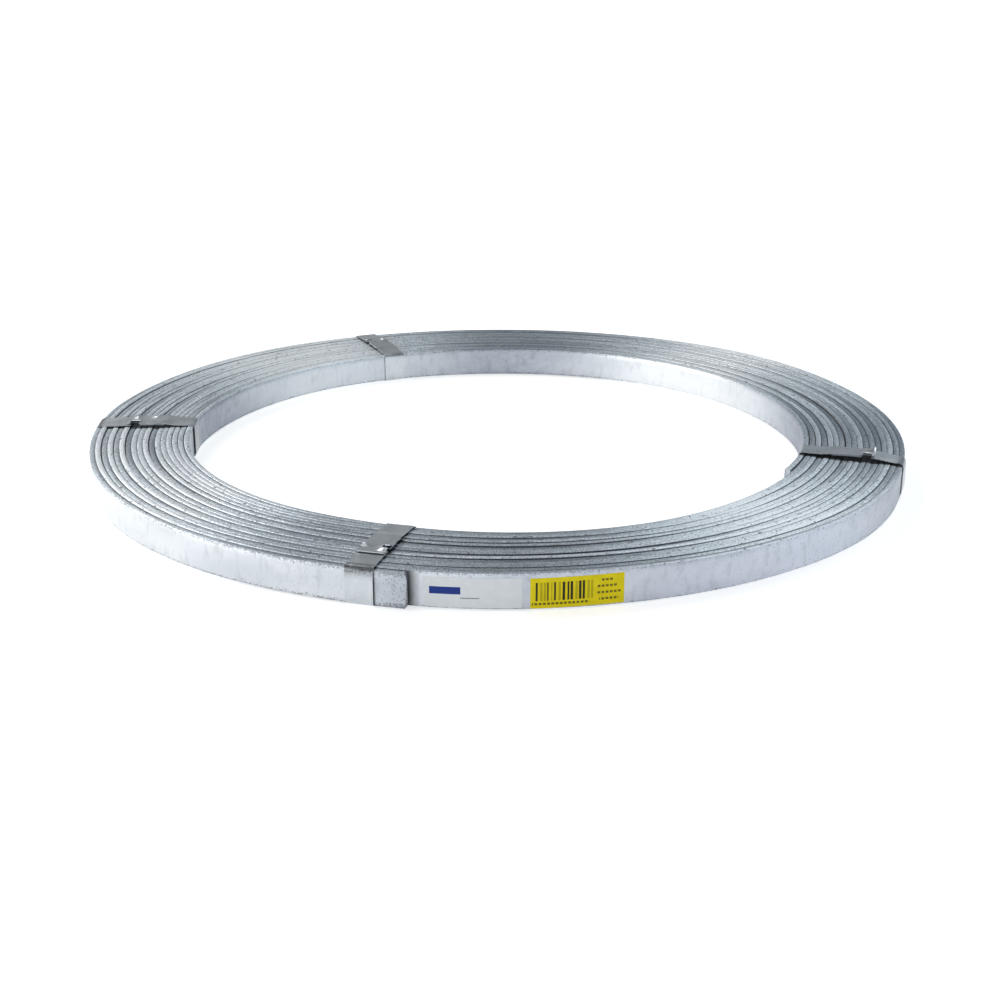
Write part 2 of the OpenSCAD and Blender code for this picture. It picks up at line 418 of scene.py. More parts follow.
# %% Zinc: grainy edges
EDGE_GREYS = grey(0.48, (0.90, 1.0, 1.08)), grey(0.90, (0.92, 1.0, 1.06))
SMEAR_GREY = grey(0.24, (0.91, 1.0, 1.08))
grain = noise(tree, stretched(tree, vector, 1.3, 2.2), 3.0, 0.7)
smear = noise(tree, stretched(tree, vector, 18.0, 1.5), 3.0)
edge = blend(tree, soft_step(tree, grain, 0.38, 0.62), *EDGE_GREYS)
edge = blend(tree, soft_step(tree, smear, 0.5, 0.68, 0.0, 0.4), edge, SMEAR_GREY)
edge = blend(tree, soft_step(tree, speck, 0.65, 0.75, 0.0, 0.5), edge, grey(0.12, COOL))
coat = blend(tree, rim, face, edge)
print("nodes so far", len(tree.nodes))

# %% Zinc: dirt, painted shade, painted light and dross
SHADE_AND_DIRT_TINT, SHADE_AND_DIRT_GREY = grey(0.2, (0.80, 1.0, 1.28)), grey(0.10, (0.84, 1.0, 1.18))
PALE_AND_LIT_GREYS = grey(0.84, (0.94, 1.0, 1.05)), grey(1.0, (0.97, 1.0, 1.03))
patch = noise(tree, stretched(tree, vector, 12.0, 7.0), 4.0, 0.65)
# Painted shade: the lowest millimetres of each face are darkened in patches, a painted contact shadow
at_foot = soft_step(tree, from_foot, 2.2, 4.0, 1.0, 0.0)
painted_foot_shade = calc(tree, "MULTIPLY", at_foot, soft_step(tree, patch, 0.3, 0.6, 0.0, 0.3))
dirt_and_shade_share = calc(tree, "ADD", calc(tree, "MULTIPLY", grime_and_shading, rim_fade), painted_foot_shade)
# Painted shade and painted light: the coat is darkened where the carried share is above zero and painted
# paler below zero; only its random patches are dirt
dirty_and_shaded = blend(tree, 1.0, coat, SHADE_AND_DIRT_TINT, "MULTIPLY")
dirty_and_shaded = blend(tree, 0.5, dirty_and_shaded, SHADE_AND_DIRT_GREY)
coat = blend(tree, soft_step(tree, dirt_and_shade_share, 0.0, 0.9, 0.0, 0.9), coat, dirty_and_shaded)
pale_and_lit = blend(tree, soft_step(tree, grain, 0.34, 0.54), *PALE_AND_LIT_GREYS)
coat = blend(tree, below_zero(tree, dirt_and_shade_share), coat, pale_and_lit)
dross = noise(tree, stretched(tree, vector, 4.5, 3.2), 2.0)
dross = calc(tree, "MULTIPLY", soft_step(tree, dross, 0.63, 0.69, 0.0, 0.75), rim_fade)
coat = blend(tree, dross, coat, grey(0.08, COOL))
print("nodes so far", len(tree.nodes))

# %% Zinc: the clean top, and stains with painted shade and light on the faces
CLEAN_TINT = grey(1.0, (1.07, 1.06, 1.12))
STAIN_AND_SHADE_TINT = grey(0.25, (0.90, 1.0, 1.32))
coat = blend(tree, clean, coat, blend(tree, 1.0, coat, CLEAN_TINT, "MULTIPLY"))
# Stains and painted shade: the faces are darkened with a blue tint in places, partly real stains and partly a
# painted shade
stain_and_shade_share = calc(tree, "MULTIPLY", stain_and_shading, soft_step(tree, patch, 0.3, 0.7, 0.8, 1.0))
stain_and_shade_share = calc(tree, "MULTIPLY", stain_and_shade_share, calc(tree, "SUBTRACT", 1.0, rim_fade))
stained_and_shaded = blend(tree, 1.0, coat, STAIN_AND_SHADE_TINT, "MULTIPLY")
coat = blend(tree, calc(tree, "MAXIMUM", stain_and_shade_share, 0.0), coat, stained_and_shaded)
# Painted light: where the carried share is below zero the faces are painted paler
coat = blend(tree, below_zero(tree, stain_and_shade_share), coat, grey(0.97))
print("nodes so far", len(tree.nodes))

# %% [markdown]
# The turns are painted near black under each strap and a little to either side of it, a painted shadow of
# the strap, reaching further on some turns than others.
# The straps have slipped a few millimetres, so a strap's middle runs slightly askew: its slip is given at the
# bore and at the outside. How far a place is from that line comes from two dot products of its coordinates.

# %% Zinc: shade under the straps
STRAP_AZ = {"strap_front": -105.2, "strap_left": -178.5, "strap_back": 114.0, "strap_right": -18.3}
STRAP_SLIP = {
    "strap_front": (2.2, -0.3), "strap_left": (0.0, 0.0),
    "strap_back": (0.0, 0.0), "strap_right": (0.0, -3.0),
}
STRAP_SHADE = {"strap_front": 10.8, "strap_left": 11.2, "strap_back": 10.0, "strap_right": 12.8}
SHADE_UNEVEN, SHADE_EDGE = 8.0, 2.5
UNEVEN_RATE = 170.0


def along_axis(tree, point, axis):
    """How far a point lies along an axis: the dot product of the two."""
    return add(tree, "ShaderNodeVectorMath", {0: point, 1: axis}, operation="DOT_PRODUCT").outputs[1]


spot = add(tree, "ShaderNodeTexCoord", {}).outputs["Object"]
for strap, azimuth in STRAP_AZ.items():
    out = (math.cos(math.radians(azimuth)), math.sin(math.radians(azimuth)), 0.0)
    reach = along_axis(tree, spot, out)
    from_middle = along_axis(tree, spot, (-out[1], out[0], 0.0))
    way_out = calc(tree, "MULTIPLY", reach, UNEVEN_RATE)
    way_out = add(tree, "ShaderNodeCombineXYZ", {0: way_out, 1: azimuth}).outputs[0]
    uneven = calc(tree, "MULTIPLY", noise(tree, way_out), SHADE_UNEVEN * MM)
    slip_in, slip_out = STRAP_SLIP[strap]
    slope = (slip_out - slip_in) / (OUTER_R - BORE_R)
    slipped = calc(tree, "MULTIPLY_ADD", reach, slope, (slip_in - slope * BORE_R) * MM)
    from_middle = calc(tree, "ABSOLUTE", calc(tree, "SUBTRACT", from_middle, slipped))
    from_middle = calc(tree, "ADD", from_middle, uneven)
    shade_end = STRAP_SHADE[strap] + SHADE_UNEVEN / 2
    covered = soft_step(tree, from_middle, (shade_end - SHADE_EDGE) * MM, shade_end * MM, 0.95, 0.0)
    covered = calc(tree, "MULTIPLY", covered, calc(tree, "GREATER_THAN", reach, 0.0))
    # Painted shadow: the turns under each strap and a little beside it are painted near black
    coat = blend(tree, covered, coat, grey(0.025))
print("nodes so far", len(tree.nodes))

# %% Zinc: sheen and relief
tree.links.new(coat, shader.inputs["Base Color"])
shader.inputs["Metallic"].default_value = 0.85
rough = calc(tree, "ADD", soft_step(tree, cloud, 0.25, 0.75, 0.36, 0.46), calc(tree, "MULTIPLY", rim, 0.04))
rough = calc(tree, "ADD", rough, calc(tree, "MULTIPLY", dull, 0.2))
tree.links.new(rough, shader.inputs["Roughness"])
lumps = calc(tree, "ADD", calc(tree, "MULTIPLY", grain, rim), calc(tree, "MULTIPLY", streak, 0.4))
raise_relief(tree, shader, 0.6, 0.4, lumps)
print("zinc nodes", len(tree.nodes))

# %% [markdown]
# ## The strip itself
# The section is carried along the winding: its inner side stands at the radius of the step and its lower
# edge at the height of the step. The wound ring lies a millimetre behind the axis of the solids. Both cut
# ends are sheared, so their corners are pulled back a little and the cut isn't quite straight.

# %% Carry the section along the winding
CENTRE = np.array([0.0, 1.2])
CORNER_FROM, CORNER_PULL = 9.5, 0.17
RAGGED = 0.7
azimuth_now = INNER_END + 360 * wound
turn = np.radians(azimuth_now)[:, None]
reach_out = radius[:, None] + section[None, :, 0]
height = low_edge[:, None] + section[None, :, 1]
from_half = np.abs(section[:, 1] - STRIP_W / 2)
pulled_back = CORNER_PULL * np.clip(from_half - CORNER_FROM, 0, None) ** 2
pulled_back = pulled_back + np.random.default_rng(4).uniform(0.0, RAGGED, len(section))
shift = np.zeros_like(reach_out)
shift[0] = pulled_back / radius[0]
shift[-1] = -pulled_back / radius[-1]
strip_points = np.stack([
    CENTRE[0] + reach_out * np.cos(turn + shift),
    CENTRE[1] + reach_out * np.sin(turn + shift),
    height,
], -1)
print("cut ends pulled back by up to", round(pulled_back.max(), 2), "mm")

# %% Make the strip
def stand_for(piece, node):
    """Puts a piece on the coil's one body, in the place of a solid, and hides that solid."""
    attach(piece, "root")
    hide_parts(node)


rows, columns = height.shape
faces, corner_row, corner_column = grid_faces(rows, columns, True)
run = run_length(strip_points[:, 0])
corner_uv = np.stack([run[corner_row], around[corner_column]], -1).reshape(-1, 2)
inner_cut = np.arange(columns)
outer_cut = (rows - 1) * columns + np.arange(columns)[::-1]
cut_uv = np.vstack([section, section[::-1] + [run[-1], 0.0]])
strip = lay_mesh(
    "coil_strip", strip_points, faces.tolist() + [inner_cut.tolist(), outer_cut.tolist()],
    np.vstack([corner_uv, cut_uv]), zinc,
)
stand_for(strip, "strip_coil")
print("length of strip", round(run[-1] / 1000, 2), "m")

# %% [markdown]
# Dirt and painted shading don't follow the strip's length, they follow the place on the coil: the tops are
# painted darker at the front, the back and the right, a painted shade, and paler between them, a painted
# light.
# A turn that sits lower than its neighbours is painted darker, a painted shade, and random patches of dirt
# come on top. So all of it is laid round the ring in soft bumps and stored on the mesh, where below zero
# means paler than the bare coat. The top of the outer turn is clean and pale at the right, the faces that
# show carry stains and painted shade and light in places, and those that face another turn are painted dark,
# a painted shade.

# %% Grime and painted shading on the tops
# Tops painted darker by place round the ring, a painted shade, and paler where the height is below zero, a
# painted light
TOP_SHADING = [
    (86, 30, 0.60), (-86, 26, 0.47), (-4, 24, 0.58), (165, 14, 0.25), (-117, 11, 0.38), (-28, 10, 0.2),
    (131, 20, -1.2), (44, 15, -1.2), (-142, 18, -0.5), (-50, 16, -0.8),
]
OUTER_TOP, CLEAN_TOP = [(-170, 25, 0.3)], [(-55, 24, 1.0)]
LOW_TURN, LOW_TURN_LEFT = 0.35, [(-168, 30, 0.12)]
DULL_TOPS = [(-42, 24, 1.0), (4, 18, 0.5), (88, 26, 0.5)]
PATCHY = 0.07
inner_turn, outer_turn = wound < 1.0, wound > TURNS - 1


def keep_on_mesh(piece, name, values):
    """Stores one value per point of a piece, for its finish to read."""
    layer = piece.data.attributes.new(name, "FLOAT", "POINT")
    layer.data.foreach_set("value", np.asarray(values, np.float32).ravel())


def keep_along(name, values):
    """Stores a value per step of the strip, or per point of a step, between -1 and 1."""
    steps = np.clip(values, -1, 1).reshape(rows, -1)
    keep_on_mesh(strip, name, np.broadcast_to(steps, (rows, columns)))


top_shading = round_bumps(azimuth_now, TOP_SHADING) + round_bumps(azimuth_now, OUTER_TOP) * outer_turn
clean_top = round_bumps(azimuth_now, CLEAN_TOP) * outer_turn
# Painted shade: a turn that sits lower than its neighbours is painted darker, and one that sits higher is
# painted paler, a painted light
shaded = low * (LOW_TURN + round_bumps(azimuth_now, LOW_TURN_LEFT))
patchy = PATCHY * wander(wound, seed=31, slowest=0.5, fastest=3.0)
keep_along("clean", clean_top)
keep_along("grime_and_shading", (top_shading + shaded) * (1 - clean_top) + patchy)
keep_along("dull", round_bumps(azimuth_now, DULL_TOPS))
print("grime from", top_shading.min().round(2), "to", top_shading.max().round(2))

# %% Stains with painted shade and light, scars, and the painted shade between the turns
# Above zero: stains and painted shade on the face; below zero: painted light
INNER_STAINS_AND_SHADING = [(88, 24, 0.65), (172, 24, 0.74), (-8, 22, 0.74), (42, 20, -0.5)]
OUTER_STAINS_AND_SHADING = [
    (-72, 15, 0.39), (-87, 6, 0.28), (-19, 17, 0.48), (-112, 12, 0.12), (-96, 6, 0.2), (-165, 24, -0.5)]
OUTER_SCARS = [(-108, 12, 0.4), (-50, 26, 0.44)]
NEAR_END, END_STAIN, END_SCARS = 4.0, 0.3, 0.6
PAINTED_SHADE_BETWEEN, PAINTED_SHADE_PLACES = 0.6, [(-88, 24, 0.4), (-42, 22, -0.25)]
near_end = np.exp(-((to_end * 360 / NEAR_END) ** 2))
inner_stain_and_shading = round_bumps(azimuth_now, INNER_STAINS_AND_SHADING) * inner_turn
outer_stain_and_shading = round_bumps(azimuth_now, OUTER_STAINS_AND_SHADING) * outer_turn
keep_along("stain_and_shading", inner_stain_and_shading + outer_stain_and_shading + END_STAIN * near_end)
keep_along("scars", END_SCARS * near_end + round_bumps(azimuth_now, OUTER_SCARS) * outer_turn)
outer_side = (section[:, 0] > STRIP_T / 2)[None, :]
hidden = np.where(outer_side, ~outer_turn[:, None], ~inner_turn[:, None])
# The two cut ends always show
hidden[[0, -1]] = False
# Painted shade on the faces that lie against another turn, stronger at the front and weaker at the right
# front
dark = PAINTED_SHADE_BETWEEN + round_bumps(azimuth_now, PAINTED_SHADE_PLACES)
keep_along("between", hidden * dark[:, None])
print("points that face another turn", int(hidden.sum()), "of", hidden.size)

# %% [markdown]
# ## Strapping
# Each strap is a thin cold-rolled band bent round the section and pulled tight. Its two ends lap on the
# top, where a tool has cut notches through both and bent the flaps up, so the lap locks without a seal.
# The band bows a little over the uneven turns and has slipped by a few millimetres. It is scuffed where it
# bends over the outer edge and painted dark there, a painted shade, and some straps are darkened on the top
# and the inner run by soiling and painted shade. It could be draped over the turns as cloth, but a band that
# is pulled tight just follows the highest chords between the turns' tops, which needs no simulation.

# %% Finish of the straps
STEEL_GREYS = grey(0.58, (0.93, 1.0, 1.06)), grey(0.65, (0.94, 1.0, 1.05))
strapping, tree, shader = new_finish("strap_steel")
vector, _, _ = run_map(tree)
drawn = noise(tree, stretched(tree, vector, 60.0, 0.9), 3.0)
patch = noise(tree, stretched(tree, vector, 16.0, 9.0), 3.0)
steel = blend(tree, soft_step(tree, patch, 0.3, 0.7), *STEEL_GREYS)
steel = blend(tree, soft_step(tree, drawn, 0.35, 0.7, 0.0, 0.1), steel, grey(0.72))
scratch = noise(tree, stretched(tree, vector, 1.5, 1.2), 3.0, 0.7)
# Scuffs and painted shade: darker at the outer bend and, on some straps, on the top and the inner run
scuffed_and_shaded = calc(tree, "MULTIPLY", carried(tree, "scuff_and_shade"), soft_step(tree, scratch, 0.35, 0.6, 0.45, 0.9))
steel = blend(tree, scuffed_and_shaded, steel, grey(0.13, COOL))
tree.links.new(steel, shader.inputs["Base Color"])
shader.inputs["Metallic"].default_value = 0.95
tree.links.new(soft_step(tree, patch, 0.25, 0.75, 0.26, 0.34), shader.inputs["Roughness"])
raise_relief(tree, shader, 0.1, 0.1, drawn)
print("strapping nodes", len(tree.nodes))

# %% Runs and bends of a strap
STRAP_W, STRAP_T = 19.5, 0.55
BEND_R, BEND_POINTS = 3.4, 7


def corner_path(x, z, start, end):
    """Quarter bend of a strap: its centre plus the bend radius in directions from start to end."""
    turn = np.radians(np.linspace(start, end, BEND_POINTS))
    return np.stack([x + BEND_R * np.cos(turn), z + BEND_R * np.sin(turn)], -1)


def run_path(a, b, points):
    """Straight run between two points of the path, both left out."""
    share = np.linspace(0, 1, points + 2)[1:-1, None]
    return np.array(a) * (1 - share) + np.array(b) * share


def tight_over(x, turn_r, turn_z):
    """Height of a tight band over turns at radii turn_r with tops turn_z: at each x, the highest of the
    chords between any turn on one side of x and any turn on the other."""
    x = np.clip(x, turn_r.min(), turn_r.max())[:, None, None]
    a, b = turn_r[:, None], turn_r[None, :]
    share = np.where(b > a, (x - a) / np.where(b > a, b - a, 1.0), -1.0)
    chord = turn_z[:, None] * (1 - share) + turn_z[None, :] * share
    return np.where((share >= 0) & (share <= 1), chord, -1.0).max((1, 2))


print("strap", STRAP_W, "x", STRAP_T, "mm, bent to", BEND_R, "mm")

# %% Path of a strap round the section
STAND_OFF, LIFT = 0.7, 1.1
LAP, LAP_EASE, LAP_AIR = 34.0, 6.0, 0.15
LIP, LIP_FADE = 0.7, 4.0
LOWER_POINTS, LEG_POINTS, UNDER_POINTS, UPPER_POINTS = 44, 6, 12, 64
FOOT_DROP = 9.0
SCUFF_SHADE_DROP, SCUFF_SHADE_FADE, SCUFF_SHADE_LEAST = 7.5, 3.0, 0.2
SCUFF_SHADE_INWARD, SCUFF_SHADE_EASE = 2.5, 2.0
NEARLY = 1e-6


def strap_path(turn_r, turn_z, lap_end, bow, bow_at):
    """Radius and height along a strap: from the covered end out over the top, down the outer face, under
    the coil, up the inner face and back over the top to the end of the lap. The top run lies tight over
    the turns, lifted by a bow that is highest at the radius bow_at and nothing at both edges. The foot says
    how far down the outer run a point is, from nothing at its head to one, and the last value how rubbed it
    is and how much painted shade it carries, most at the outer bend."""
    r_in, r_out = turn_r.min() - STAND_OFF, turn_r.max() + STRIP_T + STAND_OFF
    flat_in, flat_out = r_in + BEND_R, r_out - BEND_R
    z_in, z_out = turn_z[turn_r.argmin()] + LIFT, turn_z[turn_r.argmax()] + LIFT
    z_low = STRAP_T / 2
    path = np.vstack([
        run_path((lap_end - LAP, z_out), (flat_out, z_out), LOWER_POINTS),
        corner_path(flat_out, z_out - BEND_R, 90, 0),
        run_path((r_out, z_out - BEND_R), (r_out, z_low + BEND_R), LEG_POINTS),
        corner_path(flat_out, z_low + BEND_R, 0, -90),
        run_path((flat_out, z_low), (flat_in, z_low), UNDER_POINTS),
        corner_path(flat_in, z_low + BEND_R, 270, 180),
        run_path((r_in, z_low + BEND_R), (r_in, z_in - BEND_R), LEG_POINTS),
        corner_path(flat_in, z_in - BEND_R, 180, 90),
        run_path((flat_in, z_in), (lap_end, z_in), UPPER_POINTS),
    ])
    r, z = path.T
    on_top = (z > STRIP_W / 2) & (r >= flat_in - NEARLY) & (r <= flat_out + NEARLY)
    edges_r = np.append(turn_r, turn_r.max() + STRIP_T)
    edges_z = np.append(turn_z, turn_z[turn_r.argmax()])
    part = np.clip((r - flat_in) / (flat_out - flat_in), 0, 1)
    peak = (bow_at - flat_in) / (flat_out - flat_in)
    hump = np.where(part < peak, part / peak, (1 - part) / (1 - peak))
    arched = tight_over(r, edges_r, edges_z) + LIFT + bow * np.sin(hump * np.pi / 2) ** 2
    upper_end = on_top & (np.arange(len(path)) > len(path) / 2)
    on_lap = np.clip((r - (lap_end - LAP - LAP_EASE)) / LAP_EASE, 0, 1)
    lip = LIP * np.exp(-(lap_end - r) / LIP_FADE)
    z = np.where(on_top, arched, z) + upper_end * on_lap * (STRAP_T + LAP_AIR + lip)
    foot = np.clip((r - flat_out) / BEND_R, 0, 1) * np.clip((z_out - z) / FOOT_DROP, 0, 1)
    # Scuffs and painted shade: darkest at the outer bend, less down the outer run
    scuff_and_shade = np.clip((SCUFF_SHADE_DROP - z_out + z) / SCUFF_SHADE_FADE, SCUFF_SHADE_LEAST, 1)
    scuff_and_shade = scuff_and_shade * np.clip((r - flat_out + SCUFF_SHADE_INWARD) / SCUFF_SHADE_EASE, 0, 1)
    return np.stack([r, z], -1), on_top, upper_end, foot, scuff_and_shade


print("lap", LAP, "mm, stand-off", STAND_OFF, "mm")

# %% [markdown]
# The band is a grid again, with narrow columns along each edge. Where a notch is cut, the cells of those
# columns are left out of the mesh, and the sheet round the notch is drawn up into a lip. What isn't cut out
# stands up as flaps. A Solidify modifier then gives the sheet its thickness and closes its edges.

# %% Notches and thickness
ACROSS = np.array([-1.0, -0.78, -0.56, -0.3, 0.0, 0.3, 0.56, 0.78, 1.0]) * STRAP_W / 2
LIP_SPREAD, FLAP_RISE = 1.7, 0.6


def drawn_up(r, edge, place, half, depth, lip):
    """Height of a notch's lip and flaps above the sheet: the lip fades as a bell with the distance from
    the notch, and the flaps rise evenly from its ends to its middle."""
    off_r = np.clip(np.abs(r - place) - half, 0, None)[:, None]
    off_a = np.clip(STRAP_W / 2 - depth - edge * ACROSS, 0, None)
    flap = np.clip(1 - np.abs(r - place) / half, 0, 1)[:, None] * (off_a == 0)
    return lip * (np.exp(-(off_r ** 2 + off_a ** 2) / LIP_SPREAD ** 2) + FLAP_RISE * flap)


def thicken(piece, name, thickness):
    """Gives a sheet its thickness, half of it to either side."""
    sheet = piece.modifiers.new(name, "SOLIDIFY")
    sheet.thickness = thickness * MM
    sheet.offset = 0.0


print("columns of a strap", len(ACROSS))

# %% A strap from its path
TILT_FROM, TILT_RISE = 10.05, 15.0
INNER_RUN = 1.0


def make_strap(node, lap_end, bow, bow_at, leg_out, tilt, dirt_and_shade, notches):
    """A strap round the coil at its node's azimuth. Its outer run leaves the face by two amounts, one at
    either edge, its top dips by a tilt at one edge, and its top and inner run are darkened by two shares of
    soiling and painted shade.
    A notch has an edge (-1 or 1), a radius, a half length, a depth from the edge, the height of its lip, and
    the share of its length that is cut out: what is left of it stands up as a flap at either end."""
    here = wound_at(STRAP_AZ[node], np.arange(1, WHOLE + 1))
    here = here[here >= 0]
    turn_r = np.interp(here, wound, radius)
    turn_z = np.interp(here, wound, low_edge) + STRIP_W
    path, on_top, upper_end, foot, scuff_and_shade = strap_path(turn_r, turn_z, lap_end, bow, bow_at)
    path_r, path_z = path[:, :1], path[:, 1:]
    twist = np.interp(ACROSS, [ACROSS[0], ACROSS[-1]], leg_out)
    r = path_r + foot[:, None] * twist - ACROSS ** 2 / (2 * path_r)
    z = path_z - tilt * np.clip((path_z - TILT_FROM) / TILT_RISE, 0, 1) * ACROSS / ACROSS[-1]

    faces, corner_row, corner_column = grid_faces(len(path), len(ACROSS), False)
    middle_r = path[corner_row, 0].mean(1)
    middle_a = ACROSS[corner_column].mean(1)
    cut = np.zeros(len(faces), bool)
    for edge, place, half, depth, lip, open_share in notches:
        z = z + drawn_up(path[:, 0], edge, place, half, depth, lip) * upper_end[:, None]
        inside = (np.abs(middle_r - place) < half * open_share) & (edge * middle_a > STRAP_W / 2 - depth)
        cut |= inside & on_top[corner_row[:, 0]]

    azimuth = math.radians(STRAP_AZ[node])
    radial = np.array([math.cos(azimuth), math.sin(azimuth)])
    tangent = np.array([-math.sin(azimuth), math.cos(azimuth)])
    slip = np.interp(path_r, [path_r.min(), path_r.max()], STRAP_SLIP[node])
    flat = CENTRE + r[..., None] * radial + (slip + ACROSS)[..., None] * tangent
    points = np.concatenate([flat, z[..., None]], -1).reshape(-1, 3)
    corner_uv = np.stack([run_length(path)[corner_row], ACROSS[corner_column]], -1)
    used, kept = np.unique(faces[~cut], return_inverse=True)
    strap = lay_mesh(
        "band_" + node.removeprefix("strap_"), points[used], kept.reshape(-1, 4).tolist(),
        corner_uv[~cut].reshape(-1, 2), strapping,
    )
    # Soiling and painted shade: the top and the inner run are darkened by the two given shares
    scuff_and_shade = np.where(on_top, np.maximum(scuff_and_shade, dirt_and_shade[0]), scuff_and_shade)
    scuff_and_shade = np.where(path[:, 0] < path_r.min() + INNER_RUN, dirt_and_shade[1], scuff_and_shade)
    keep_on_mesh(strap, "scuff_and_shade", np.repeat(scuff_and_shade, len(ACROSS))[used])
    thicken(strap, "sheet", STRAP_T)
    stand_for(strap, node)


# %% The four straps
make_strap(
    "strap_front", lap_end=313.0, bow=0.6, bow_at=292.0, leg_out=(0.1, 1.5), tilt=0.0, dirt_and_shade=(0.0, 0.0),
    notches=[(1, 304.0, 3.6, 4.3, 1.5, 0.6), (-1, 300.0, 1.2, 4.3, 1.1, 0.0)],
)
make_strap(
    "strap_left", lap_end=306.0, bow=1.2, bow_at=280.0, leg_out=(0.0, 0.0), tilt=0.7, dirt_and_shade=(0.05, 0.75),
    notches=[
        (1, 297.5, 3.6, 6.8, 0.9, 1.0), (-1, 297.0, 1.1, 4.3, 0.7, 0.0), (-1, 282.0, 1.8, 4.3, 0.5, 1.0)],
)
make_strap(
    "strap_back", lap_end=302.0, bow=1.0, bow_at=290.0, leg_out=(0.0, 0.0), tilt=0.0, dirt_and_shade=(0.1, 0.25),
    notches=[(1, 293.0, 3.0, 4.3, 1.4, 1.0), (-1, 293.0, 3.0, 4.3, 1.6, 1.0)],
)
make_strap(
    "strap_right", lap_end=309.0, bow=1.8, bow_at=302.0, leg_out=(0.0, 0.8), tilt=0.0, dirt_and_shade=(0.3, 0.3),
    notches=[(-1, 303.0, 3.6, 6.8, 0.8, 1.0), (1, 307.0, 1.6, 4.3, 1.6, 0.0)],
)

# %% [markdown]
# ## Stickers
# Two paper stickers follow the outer face to the right of the strip's end. Each is a patch of that face
# lifted by a paper's thickness. Print could be an image, but bars and dashes are simple enough to be worked
# out from the sticker's own UV map: a bar is where both of its parts lie within two limits. The print is
# generic, plain bars, rules and dashes that stand for no words and no number.

# %% Paper and print
def within(tree, value, low, high):
    """One where a value lies between two limits, nothing elsewhere."""
    above = calc(tree, "GREATER_THAN", value, low)
    return calc(tree, "MULTIPLY", above, calc(tree, "LESS_THAN", value, high))


def rule(tree, along, across, x0, x1, y0, y1):
    """A printed bar: one inside the box, nothing outside it."""
    return calc(tree, "MULTIPLY", within(tree, along, x0, x1), within(tree, across, y0, y1))


def paper_finish(name, colour, shade):
    """Satin paper with a faint mottle, ready for print: the material, tree, shader, colour and UV parts."""
    finish, tree, shader = new_finish(name)
    vector, along, across = run_map(tree)
    mottle = noise(tree, stretched(tree, vector, 6.0, 6.0), 3.0)
    paper = blend(tree, soft_step(tree, mottle, 0.35, 0.7), shade, colour)
    shader.inputs["Roughness"].default_value = 0.42
    shader.inputs["Specular IOR Level"].default_value = 0.2
    raise_relief(tree, shader, 0.15, 0.1, mottle)
    print(name, "has", len(tree.nodes), "nodes before its print")
    return finish, tree, shader, paper, along, across


# %% White sticker
WHITE, WHITE_SHADE = grey(0.77, (0.96, 1.0, 1.03)), grey(0.74, (0.96, 1.0, 1.03))
NAVY = (0.012, 0.035, 0.22, 1.0)
NAVY_BAR, THIN_RULE = (3.0, 23.0, 9.0, 14.0), (23.0, 35.0, 6.2, 6.9)
white_paper, tree, shader, paper, along, across = paper_finish("white_sticker", WHITE, WHITE_SHADE)
paper = blend(tree, rule(tree, along, across, *NAVY_BAR), paper, NAVY)
paper = blend(tree, rule(tree, along, across, *THIN_RULE), paper, grey(0.25))
tree.links.new(paper, shader.inputs["Base Color"])
print("white sticker nodes", len(tree.nodes))

# %% Bars of the yellow sticker
YELLOW, YELLOW_SHADE = (0.80, 0.66, 0.006, 1.0), (0.74, 0.60, 0.005, 1.0)
INK, FADED_INK = (0.03, 0.025, 0.004, 1.0), (0.16, 0.13, 0.008, 1.0)
BARS_FROM, BARS_TO, BARS_LOW, BARS_HIGH = 3.4, 42.0, 5.0, 17.6
BAR_COUNT = 15
yellow_paper, tree, shader, paper, along, across = paper_finish("yellow_sticker", YELLOW, YELLOW_SHADE)
draw = np.random.default_rng(9)
bar_widths = draw.choice([0.7, 1.0, 1.3], BAR_COUNT)
gap_widths = draw.choice([0.6, 0.9, 1.3], BAR_COUNT)
strength = draw.choice([1.0, 1.0, 1.0, 0.4], BAR_COUNT)
widths = np.stack([bar_widths, gap_widths], -1).ravel()
bar_starts = np.concatenate([[0], np.cumsum(widths)[:-1]]) / widths.sum()
bar_place = add(tree, "ShaderNodeMapRange", {0: along, 1: BARS_FROM, 2: BARS_TO}).outputs[0]
stripes = add(tree, "ShaderNodeValToRGB", {0: bar_place})
ramp = stripes.color_ramp
ramp.interpolation = "CONSTANT"
ramp.elements.remove(ramp.elements[1])
ramp.elements[0].color = grey(strength[0])
for number, start in enumerate(bar_starts[1:], 1):
    ramp.elements.new(start).color = grey(strength[number // 2] * (1 - number % 2))
bar_box = rule(tree, along, across, BARS_FROM, BARS_TO, BARS_LOW, BARS_HIGH)
paper = blend(tree, calc(tree, "MULTIPLY", bar_box, stripes.outputs[0]), paper, INK)
print("bars and gaps", len(widths))

# %% Dashes of the yellow sticker
DASH_PITCH, DASH_SHARE, DASH_TALL = 2.7, 0.7, 1.6
DASH_ROWS = [(16.2, 46.0, 53.5), (12.0, 43.0, 56.5), (7.6, 42.5, 59.0), (3.2, 44.5, 57.0), (2.2, 1.0, 38.0)]
part_of_dash = calc(tree, "FRACT", calc(tree, "DIVIDE", along, DASH_PITCH))
dash = calc(tree, "LESS_THAN", part_of_dash, DASH_SHARE)
for low_side, x0, x1 in DASH_ROWS:
    dash_row = rule(tree, along, across, x0, x1, low_side, low_side + DASH_TALL)
    paper = blend(tree, calc(tree, "MULTIPLY", dash_row, dash), paper, FADED_INK)
tree.links.new(paper, shader.inputs["Base Color"])
print("yellow sticker nodes", len(tree.nodes))

# %% Sticker patches on the outer face
STICKER_T, STICKER_LIFT = 0.04, 0.05
STICKER_STEPS, STICKER_LEVELS = 49, 9


